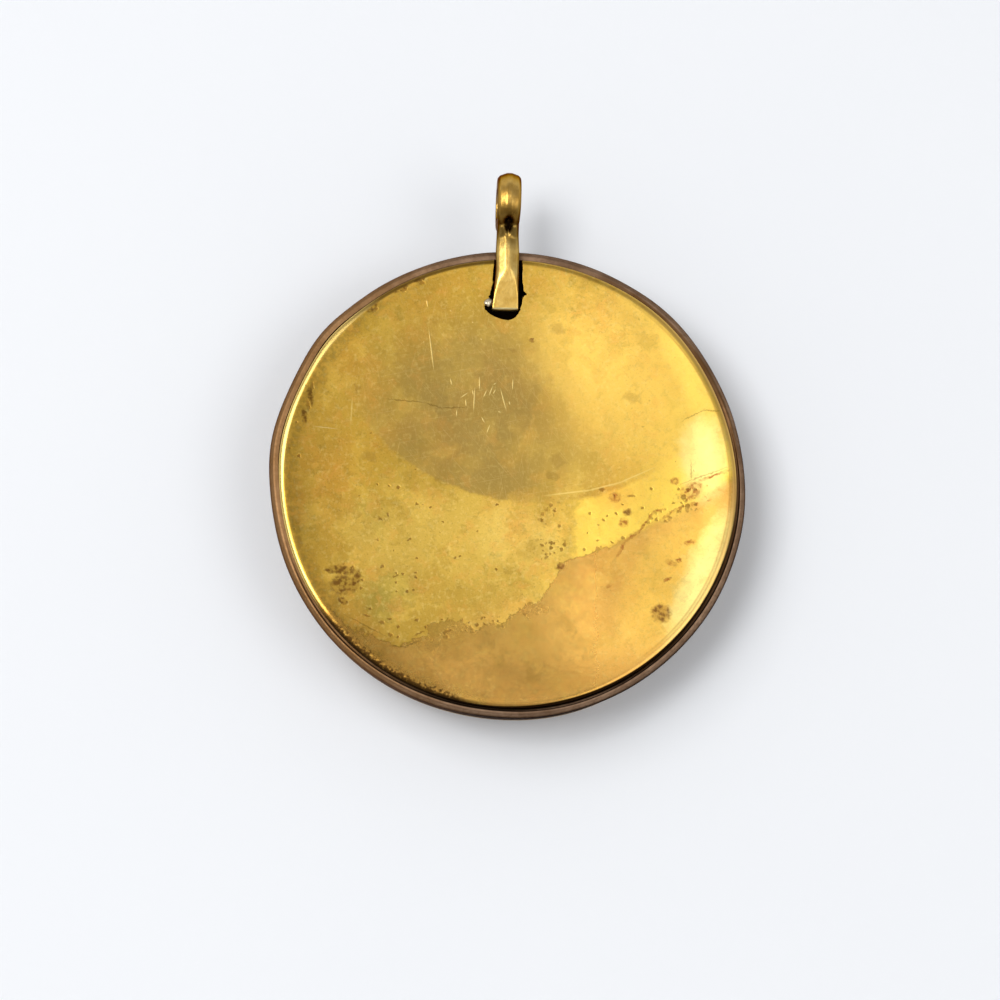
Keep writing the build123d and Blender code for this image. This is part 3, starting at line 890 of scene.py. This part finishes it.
    # Edge: rubbed smooth and lightened as a painted highlight at the left, a painted tan sheen with a dark
    #     line inside it at the right, near black in the joint
    lip = cover_radius + cover_lip
    edge = add(tree, "VectorMath", {0: flat, 1: (*cover_play, 1)}, operation="DISTANCE")
    edge_part = add(tree, "MapRange", {"Value": edge, "From Min": lip - 0.55, "From Max": lip - 0.4})
    left_highlight_part = towards(tree, steady, (-0.98, 0.17, 0), 16.5, 19.5, 0.8)
    rubbed_edge_and_painted_highlight = overlap(tree, edge_part, left_highlight_part)
    right_edge = towards(tree, flat, (1, 0, 0), 12.0, 18.0, 0.6)
    painted_sheen_right_edge = overlap(tree, edge_part, right_edge)
    off_line = add(tree, "Math", {0: edge, 1: lip - 0.75}, operation="SUBTRACT")
    off_line = add(tree, "Math", {0: off_line}, operation="ABSOLUTE")
    line_part = add(tree, "MapRange", {"Value": off_line, "From Min": 0.16, "From Max": 0.0, "To Max": 0.7})
    edge_line = overlap(tree, line_part, right_edge)
    dirt_part = towards(tree, steady, (-0.5, 0.87, 0), 18.5, 21.0, 0.75)
    dirt_edge = overlap(tree, edge_part, dirt_part)
    last_part = add(tree, "MapRange", {"Value": edge, "From Min": lip - 0.1, "From Max": lip - 0.02})
    open_part = towards(tree, flat, (0.45, -0.89, 0), 4.0, 18.0)
    joint = overlap(tree, last_part, open_part)
    height = add(tree, "SeparateXYZ", {"Vector": where}).outputs["Z"]
    # Painted shade: the skirt, the faces turned down and the faces turned sideways, such as the notch's cut
    # edges, are darkened; the underside is tarnished as well
    skirt = add(tree, "MapRange", {"Value": height, "From Min": cover_z - 0.95, "From Max": cover_z - 1.4})
    under = facing_up(tree, -0.2, -0.5)
    cut = facing_up(tree, 0.45, 0.2, 0.9)

    tone = paint(tree, tone, (
        ("#7a5a2a", faint), ("#a5622c", rust), ("#6a4418", pit_tone), ("#6f4420", brown), ("#6b4318", blot),
        ("#8a6626", torn), ("#5b4416", dark_lines), ("#f2d880", pale_scratch_and_highlight), ("#f4dc92", bright_lines),
        ("#eed189", fine), ("#6c551b", olive_painted_shade), ("#6a4a18", halo), ("#2c1808", grime), ("#7a5a26", dirt_edge),
        ("#f6d47c", rubbed_edge_and_painted_highlight), ("#ecbc6c", painted_sheen_right_edge), ("#9c6a2a", edge_line), ("#2a1806", joint),
        ("#3a260f", cut), ("#6e5026", skirt), ("#33240f", under),
    ))

    rough = 0.31
    for mask, more in (
        (dull, 0.1), (pale, 0.09), (smooth, -0.04), (right_smooth, 0.08), (pits, 0.15), (brown, 0.2),
        (grime, 0.25), (joint, 0.3), (rubbed_edge_and_painted_highlight, -0.06), (cut, 0.2), (under, 0.3),
    ):
        rough = add(tree, "Math", {0: mask, 1: more, 2: rough}, operation="MULTIPLY_ADD")

    relief = add(tree, "Math", {0: pits, 1: -1.0, 2: bright_lines}, operation="MULTIPLY_ADD")
    grain = add(tree, "TexNoise", {"Vector": flat, "Scale": 2.5, "Detail": 5.0, "Roughness": 0.6})
    grain_part = add(tree, "MapRange", {"Value": pale, "To Min": 0.35, "To Max": 0.9})
    relief = add(tree, "Math", {0: grain, 1: grain_part, 2: relief}, operation="MULTIPLY_ADD")
    bump = add(tree, "Bump", {"Height": relief, "Distance": 0.01 * MM, "Strength": 1.0})
    fill(tree, shader, {"Base Color": tone, "Metallic": 1.0, "Roughness": rough, "Normal": bump})
    return made


def browned_brass():
    """Brass wire and band gone brown: mauve-brown and rubbed in patches, warmer at the left as painted light,
    and dark on the sides that turn from up, with tarnish and painted shade that deepens at the right. The
    band's edge is darker at the right and near black at the bottom, in the groove beside the cover."""
    made, tree, shader = material("browned_brass_wire")
    where = millimetres(tree)
    cloud = add(tree, "TexNoise", {"Vector": where, "Scale": 0.35, "Detail": 5.0, "Roughness": 0.6})
    rubbed = add(tree, "MapRange", {"Value": cloud, "From Min": 0.38, "From Max": 0.66})
    grain = add(tree, "TexNoise", {"Vector": where, "Scale": 2.5, "Detail": 5.0})
    dark = add(tree, "MapRange", {"Value": grain, "From Min": 0.5, "From Max": 0.75, "To Max": 0.35})
    flat = add(tree, "VectorMath", {0: where, 1: (1, 1, 0)}, operation="MULTIPLY")
    # Painted shade: faces that turn from up are darkened, more at the right, away from the light; partly
    # tarnish
    left = add(tree, "VectorMath", {0: flat, 1: (-1, 0, 0)}, operation="DOT_PRODUCT")
    shade = add(tree, "MapRange", {
        "Value": left, "From Min": 2.0, "From Max": 14.0, "To Min": 0.9, "To Max": 0.4,
    })
    side = facing_up(tree, 0.7, 0.3, shade)
    # Painted light: warmer and lighter towards the left, where the light falls
    warm = towards(tree, flat, (-1, 0, 0), 4.0, 16.0, 0.6)
    reach = add(tree, "VectorMath", {0: flat}, operation="LENGTH")
    soft = 0.08
    inner = add(tree, "MapRange", {
        "Value": reach, "From Min": wall_outer + soft, "From Max": wall_outer - soft,
    })
    # The band's edge inside the wire is darker towards the right and near black towards the bottom
    wall_edge_darker_right = overlap(tree, inner, towards(tree, flat, (1, 0, 0), 4.0, 14.0, 0.75))
    wall_edge_near_black_low = overlap(tree, inner, towards(tree, flat, (0.12, -0.99, 0), 15.0, 22.5, 0.95))
    tone = paint(tree, linear("#7c614b"), (
        ("#9a7d64", rubbed), ("#4a3018", dark), ("#8c6434", warm), ("#1e1208", side), ("#5a3a16", wall_edge_darker_right),
        ("#140b04", wall_edge_near_black_low),
    ))
    rough = add(tree, "MapRange", {"Value": grain, "To Min": 0.36, "To Max": 0.56})
    bump = add(tree, "Bump", {"Height": grain, "Distance": 0.02 * MM})
    fill(tree, shader, {"Base Color": tone, "Metallic": 0.85, "Specular Tint": linear("#8a6a50")})
    fill(tree, shader, {"Roughness": rough, "Normal": bump})
    return made


def forged_brass():
    """Forged rod brass: warm gold worn smooth and bright on the shank and foot, with file lines along the rod.
    The top of the eye and the slope below it are painted shade, the sides are dark with tarnish and painted
    shade, the pit of the eye is black with grime and painted shade, and the foot's cut end has a painted
    highlight."""
    made, tree, shader = material("forged_rod_brass")
    where = millimetres(tree)
    flat = add(tree, "VectorMath", {0: where, 1: (1, 1, 0), 2: (0, 0, 1)}, operation="MULTIPLY_ADD")
    cloud = add(tree, "TexNoise", {"Vector": where, "Scale": 0.9, "Detail": 6.0, "Roughness": 0.6})
    worn = add(tree, "MapRange", {"Value": cloud, "From Min": 0.35, "From Max": 0.65})
    filed = overlap(tree, streaks(tree, where, 88, 3.0, 0.08, 0.56), 0.2)
    # Painted shade: the top of the eye and the slope below it, which turn from the light, are darkened
    top = spots(tree, flat, ((0.1, 32.0, 3.0, 4.6, 0),), 0.3, 0.6)
    painted_shade_below_eye = spots(tree, flat, ((0.0, 27.1, 1.8, 1.3, 90),), 0.6, 0.75)
    foot = spots(tree, flat, ((-0.3, 19.8, 2.0, 1.5, 0),), 0.5, 0.45)
    # Painted highlight along the foot's cut end
    painted_highlight_on_foot_end = spots(tree, flat, ((-0.36, foot_y - 0.02, 1.5, 0.13, 0),), 0.4, 0.85)
    # The pit is black: grime, and painted shade in the crease
    pit = spots(tree, flat, ((0.0, 27.2, 0.7, 0.4, 90),), 0.5)
    # Sides that turn from up are dark: tarnish, and painted shade
    side = facing_up(tree, 0.86, 0.45, 0.85)
    tone = paint(tree, linear("#e8ba5e"), (
        ("#ffdc84", worn), ("#8a6428", filed), ("#c0903e", top), ("#c89a3c", foot), ("#6a4d18", painted_shade_below_eye),
        ("#140b03", pit), ("#4e340f", side), ("#fff0b4", painted_highlight_on_foot_end),
    ))
    rough = add(tree, "MapRange", {"Value": cloud, "To Min": 0.24, "To Max": 0.36})
    bump = add(tree, "Bump", {"Height": cloud, "Distance": 0.05 * MM})
    fill(tree, shader, {"Base Color": tone, "Metallic": 1.0, "Specular Tint": linear("#b08a4a")})
    fill(tree, shader, {"Roughness": rough, "Normal": bump})
    return made


def raised_brass(name, clean, tarnished):
    """Raised sheet brass of the front: clean gold with clouds of tarnish and fine rubbing lines. The inside
    of the box, which faces up, is dark with old tarnish and painted shade."""
    made, tree, shader = material(name)
    where = millimetres(tree)
    cloud = add(tree, "TexNoise", {"Vector": where, "Scale": 0.3, "Detail": 6.0, "Roughness": 0.6})
    tarnish = add(tree, "MapRange", {"Value": cloud, "From Min": 0.42, "From Max": 0.68})
    fine = overlap(tree, streaks(tree, where, 35, 4.0, 0.08, 0.62), 0.35)
    # The inside faces are dark: tarnish, and painted shade inside the shut box
    inside = facing_up(tree, 0.2, 0.5)
    tone = paint(tree, linear(clean), ((tarnished, tarnish), ("#f2d78c", fine), ("#2b1e0d", inside)))
    outside = add(tree, "MapRange", {"Value": cloud, "To Min": 0.26, "To Max": 0.46})
    rough = add(tree, "Math", {0: inside, 1: 0.25, 2: outside}, operation="MULTIPLY_ADD")
    fill(tree, shader, {"Base Color": tone, "Metallic": 1.0, "Roughness": rough})
    return made


def soft_solder():
    """Soft solder: pale grey gone creamy, with brighter grains where it broke."""
    made, tree, shader = material("broken_soft_solder")
    where = millimetres(tree)
    grain = add(tree, "TexVoronoi", {"Vector": where, "Scale": 5.0})
    tone = paint(tree, linear("#f3ead2"), [("#b5a788", grain)])
    bump = add(tree, "Bump", {"Height": grain, "Distance": 0.03 * MM})
    fill(tree, shader, {"Base Color": tone, "Metallic": 1.0, "Roughness": 0.4, "Normal": bump})
    return made


def turquoise():
    """Polished turquoise: blue-green with paler clouds and a thin net of brown matrix."""
    made, tree, shader = material("polished_turquoise")
    where = millimetres(tree)
    cloud = add(tree, "TexNoise", {"Vector": where, "Scale": 0.5, "Detail": 6.0, "Roughness": 0.6})
    bend = (2.4, 2.4, 2.4)
    bent = add(tree, "VectorMath", {0: cloud.outputs["Color"], 1: bend, 2: where}, operation="MULTIPLY_ADD")
    net = add(tree, "TexVoronoi", {"Vector": bent, "Scale": 0.35}, feature="DISTANCE_TO_EDGE")
    vein = add(tree, "MapRange", {"Value": net, "From Min": 0.05, "From Max": 0.012})
    tone = paint(tree, linear("#2f8f8c"), (("#63bfb2", cloud), ("#3b2a1a", vein)))
    rough = add(tree, "MapRange", {"Value": vein, "To Min": 0.22, "To Max": 0.5})
    fill(tree, shader, {"Base Color": tone, "Roughness": rough})
    return made


def bark_paper():
    """Hand-made bark paper: warm cream with long fibres and faint brown foxing, quite matt."""
    made, tree, shader = material("handmade_bark_paper")
    where = millimetres(tree)
    cloud = add(tree, "TexNoise", {"Vector": where, "Scale": 0.4, "Detail": 5.0})
    tone = paint(tree, linear("#b99a66"), [("#dcc79c", cloud)])
    tone = paint(tree, tone, (
        (code, overlap(tree, streaks(tree, where, heading, 5.0, 0.12, 0.62), 0.5))
        for heading, code in ((15, "#8f6f42"), (70, "#efe0bd"), (125, "#a5854f"))
    ))
    bump = add(tree, "Bump", {"Height": cloud, "Distance": 0.1 * MM})
    fill(tree, shader, {"Base Color": tone, "Roughness": 0.9, "Normal": bump})
    return made


def finish_piece(piece, body, slot, coat, *nodes):
    """Gives a piece its coat and says what it rides on and the solids that it stands for. Its slot is not
    used.
    """
    piece.data.materials.append(coat)
    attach(piece, body)
    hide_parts(*nodes)


# Pieces

cover_coat = cover_brass()
brown_coat = browned_brass()
bail_coat = forged_brass()
ground_coat = raised_brass("tarnished_raised_sheet_brass", "#a87e38", "#6b4c1f")
sheet_coat = raised_brass("rubbed_raised_sheet_brass", "#e0b65c", "#b58a40")
solder_coat = soft_solder()
stone_coat = turquoise()
paper_coat = bark_paper()

cover = skin("hammered_cover", cover_points())
thick = cover.modifiers.new("sheet", "SOLIDIFY")
thick.thickness = cover_sheet * MM
thick.offset = -1
finish_piece(cover, "cover", "yellow_brass_sheet", cover_coat, "back_cover")

finish_piece(skin("case_band", wall_points()), "case", "browned_brass", brown_coat, "case_wall")
finish_piece(skin("mouth_wire", rim_points()), "case", "browned_brass", brown_coat, "rim_wire")

weld_grain = 0.07
bail = skin("forged_bail", eye_points(), shank_points())
fuse = bail.modifiers.new("forge_weld", "REMESH")
fuse.mode = "VOXEL"
fuse.voxel_size = weld_grain * MM
fuse.use_smooth_shade = True
relax = bail.modifiers.new("file_off", "SMOOTH")
relax.factor = 0.5
relax.iterations = 4
finish_piece(bail, "case", "forged_brass", bail_coat, "bail")

joint_sunk = 0.55
joint = lump((0, wall_inner - joint_sunk, rim_z - joint_sunk), (1.05, 0.8, 0.75), 71, 0.06)
joint[..., 1] = np.minimum(joint[..., 1], np.sqrt(wall_inner**2 - joint[..., 0] ** 2))
joint[..., 2] = np.minimum(joint[..., 2], rim_z)
chip = lump((-2.02, 19.2, 10.4), (0.55, 0.42, 0.32), 72, 0.12)
finish_piece(skin("solder_joint", joint, chip), "case", "soft_solder", solder_coat, "bail_solder")

finish_piece(skin("raised_front", dome_points()), "case", "yellow_brass_sheet", ground_coat, "front_dome")
for number in range(petal_count):
    petal = skin(f"petal_{number + 1}", *petal_points(TURN * (number + 0.5) / petal_count))
    finish_piece(petal, "case", "yellow_brass_sheet", sheet_coat, f"lotus_petal_{number + 1}")
finish_piece(skin("rope_border", rope_points()), "case", "browned_brass", brown_coat, "rope_wire")
finish_piece(skin("bead_border", bead_points()), "case", "browned_brass", brown_coat, "beaded_wire")
finish_piece(skin("stone_collar", collar_points()), "case", "yellow_brass_sheet", sheet_coat, "stone_bezel")
finish_piece(skin("turquoise_stone", stone_points()), "case", "turquoise", stone_coat, "stone")

paper_thickness = 0.2
leaves, strip_length = paper_points()
paper = skin("folded_paper", leaves)
sheet = paper.modifiers.new("thickness", "SOLIDIFY")
sheet.thickness = paper_thickness * MM
sheet.offset = 0
finish_piece(paper, "case", "folded_paper", paper_coat, "prayer_strip")

# Stage: a pale bowl, level under the box and curving up to a wall all round
level, curve, top = 0.6, 0.25, 0.3
bend = np.linspace(0, np.pi / 2, 17)
bowl_radius = np.concatenate([
    np.linspace(0, level, 12), level + curve * np.sin(bend[1:]), [level + curve],
]) / MM
bowl_height = np.concatenate([np.zeros(12), curve * (1 - np.cos(bend[1:])), [top]]) / MM
bowl = skin("pale_bowl", turned(bowl_radius[:, None], bowl_height[:, None], np.linspace(0, TURN, 97)[None]))
bowl.data.flip_normals()
bowl_coat, tree, shader = material("matt_white_paint")
where = millimetres(tree)
mottle = add(tree, "TexNoise", {"Vector": where, "Scale": 0.02, "Detail": 3.0})
tone = paint(tree, linear("#f2f4f8"), [("#f5f7fa", mottle)])
fill(tree, shader, {"Base Color": tone, "Roughness": 0.8})
bowl.data.materials.append(bowl_coat)

# Light: an even grey sky, a small strong panel to the left and two larger, weaker ones
world = bpy.data.worlds.new("studio_sky")
world.use_nodes = True
world.node_tree.nodes["Background"].inputs["Color"].default_value = linear("#ffffff")
world.node_tree.nodes["Background"].inputs["Strength"].default_value = 0.36
bpy.context.scene.world = world


def panel(name, place, size, brightness):
    """A soft panel that faces the box from a place in metres; its power gives its surface that brightness."""
    lamp = bpy.data.lights.new(name, "AREA")
    lamp.shape = "RECTANGLE"
    lamp.size, lamp.size_y = size
    lamp.energy = brightness * 4 * size[0] * size[1]
    light = bpy.data.objects.new(name, lamp)
    light.location = place
    light.rotation_mode = "QUATERNION"
    light.rotation_quaternion = Vector(place).to_track_quat("Z", "Y")
    light.visible_camera = False
    bpy.context.scene.collection.objects.link(light)


panel("left_panel", (-0.35, -0.03, 0.85), (0.32, 0.32), 6.0)
panel("right_panel", (0.45, -0.16, 0.8), (0.5, 0.5), 1.5)
panel("overhead_panel", (-0.37, 0.22, 0.9), (0.45, 0.6), 2.4)

# Camera: almost straight above, leaning to the lower edge, with the bail towards the top of the picture
picture_width = 1000
rim_in_picture = 238.4
pixel = 25.0 / rim_in_picture
sensor = 36.0
camera_tilt, camera_side = np.radians(13), np.radians(258)
camera_range = 420.0
rim_level = 9.4
aim_left, aim_down = 7.8, 18.0
lean_out = np.sin(camera_tilt)
back = np.array([lean_out * np.cos(camera_side), lean_out * np.sin(camera_side), np.cos(camera_tilt)])
right = np.cross((0, 1, 0), back)
right = right / np.linalg.norm(right)
up = np.cross(back, right)
aim = np.array([0, 0, rim_level]) - aim_left * pixel * right - aim_down * pixel * up
lens = bpy.data.cameras.new("camera")
lens.sensor_width = sensor
lens.lens = sensor * camera_range / (picture_width * pixel)
lens.clip_start, lens.clip_end = 0.01, 10.0
camera = bpy.data.objects.new("camera", lens)
turn_to = Matrix(np.column_stack([right, up, back]).tolist()).to_4x4()
camera.matrix_world = Matrix.Translation(Vector((aim + camera_range * back) * MM)) @ turn_to
bpy.context.scene.collection.objects.link(camera)
bpy.context.scene.camera = camera
bpy.context.scene.view_settings.view_transform = "Standard"
